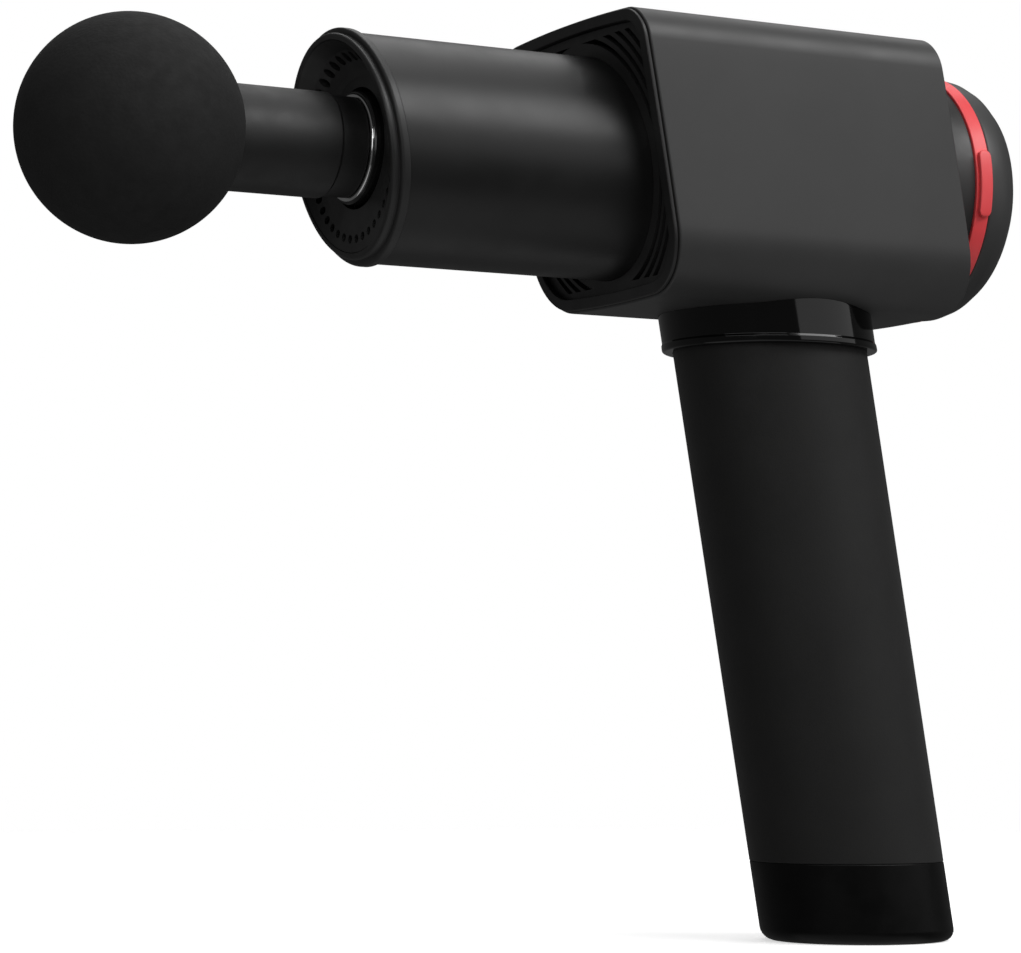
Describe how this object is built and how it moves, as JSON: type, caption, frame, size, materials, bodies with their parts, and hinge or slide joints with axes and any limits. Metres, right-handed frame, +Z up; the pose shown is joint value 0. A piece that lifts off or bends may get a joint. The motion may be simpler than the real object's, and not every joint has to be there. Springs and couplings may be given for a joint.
{
  "type": "massage gun",
  "caption": "Percussion massage gun: ball head on a reciprocating stem, round barrel, squarish motor body, rear speed ring and leaning round grip.",
  "frame": {"origin": "centre of the foot's flat base", "axes": "+X forward along the barrel towards the ball, +Y to the gun's left (the side with the thumb tab), +Z up"},
  "size_m": [0.2533, 0.07, 0.2209],
  "materials": {
    "foam_rubber": "fine matte foam rubber",
    "stem_plastic": "satin black moulded nylon",
    "seal_rubber": "black rubber",
    "chrome_rim": "polished chrome",
    "black_anodised": "glossy black anodised aluminium",
    "steel": "ground steel",
    "bronze": "sintered bronze",
    "rod_aluminium": "machined aluminium",
    "magnet": "nickel-plated magnet",
    "lamination": "stacked electrical steel",
    "copper_winding": "enamelled copper wire",
    "chassis_aluminium": "die-cast aluminium",
    "barrel_black": "satin black anodised aluminium",
    "trim_black": "satin black moulded plastic",
    "body_black": "fine satin black painted plastic",
    "ring_red": "satin red moulded plastic",
    "lens_smoke": "smoked translucent plastic",
    "button_black": "satin black moulded plastic",
    "board_green": "glass-fibre circuit board",
    "component_black": "black epoxy",
    "connector_white": "white nylon connector",
    "collar_gloss": "polished black plastic",
    "grip_rubber": "matte soft-touch rubber",
    "foot_black": "semi-gloss black plastic",
    "tube_plastic": "black moulded plastic",
    "cell_wrap": "steel can in a plastic sleeve",
    "nickel": "nickel strip",
    "pad_rubber": "soft grey rubber"
  },
  "bodies": {
    "housing": {"stator_core": "lamination", "stator_windings": "copper_winding", "motor_bearings": "steel", "chassis": "chassis_aluminium", "cylinder_block": "chassis_aluminium", "guide_bush": "bronze", "piston_seal": "seal_rubber", "barrel_tube": "barrel_black", "barrel_screws": "steel", "nozzle_bezel": "trim_black", "nozzle_vent_plate": "trim_black", "body_shell": "body_black", "front_bezel": "trim_black", "grille_plate": "trim_black", "rear_panel": "trim_black", "rear_cap": "body_black", "status_lens": "lens_smoke", "power_switch": "component_black", "switch_board": "board_green", "handle_tube": "tube_plastic", "grip_sleeve": "grip_rubber", "collar": "collar_gloss", "foot_cap": "foot_black", "foot_boss": "tube_plastic", "foot_screws": "steel", "handle_screws": "steel", "charge_jack": "component_black", "jack_pin": "steel", "battery_cells": "cell_wrap", "cell_holders": "tube_plastic", "cell_links": "nickel", "battery_board": "board_green", "control_board": "board_green", "board_capacitors": "nickel", "board_chips": "component_black", "board_plugs": "connector_white", "isolation_pads": "pad_rubber"},
    "head": {"massage_ball": "foam_rubber", "ball_stem": "stem_plastic", "stem_o_rings": "seal_rubber"},
    "piston_body": {"piston": "black_anodised", "socket_rim": "chrome_rim", "wrist_pin": "steel"},
    "rod": {"connecting_rod": "rod_aluminium", "rod_bush": "bronze", "big_end_bearing": "steel", "crank_pin": "steel"},
    "crank": {"crank_disc": "steel", "counterweight": "steel", "motor_shaft": "steel", "rotor_bell": "chassis_aluminium", "rotor_magnets": "magnet"},
    "ring": {"speed_ring": "ring_red"},
    "button": {"power_button": "button_black"}
  },
  "joints": [
    {"name": "piston_stroke", "type": "slide", "parent": "housing", "child": "piston_body", "axis": [1, 0, 0], "range_m": [-0.012, 0]},
    {"name": "head_pull", "type": "slide", "parent": "piston_body", "child": "head", "axis": [1, 0, 0], "range_m": [0, 0.03]},
    {"name": "rod_swing", "type": "hinge", "parent": "piston_body", "child": "rod", "pos_m": [0.086, 0, 0.186], "axis": [0, 1, 0], "range_deg": [-7, 7]},
    {"name": "crank_spin", "type": "hinge", "parent": "housing", "child": "crank", "pos_m": [0.03, 0, 0.186], "axis": [0, 1, 0], "continuous": true},
    {"name": "speed_ring_turn", "type": "hinge", "parent": "housing", "child": "ring", "pos_m": [-0.0171, 0, 0.1855], "axis": [1, 0, 0], "range_deg": [-40, 40]},
    {"name": "button_press", "type": "slide", "parent": "housing", "child": "button", "axis": [1, 0, 0], "range_m": [0, 0.001], "stiffness_N_per_m": 1500}
  ]
}
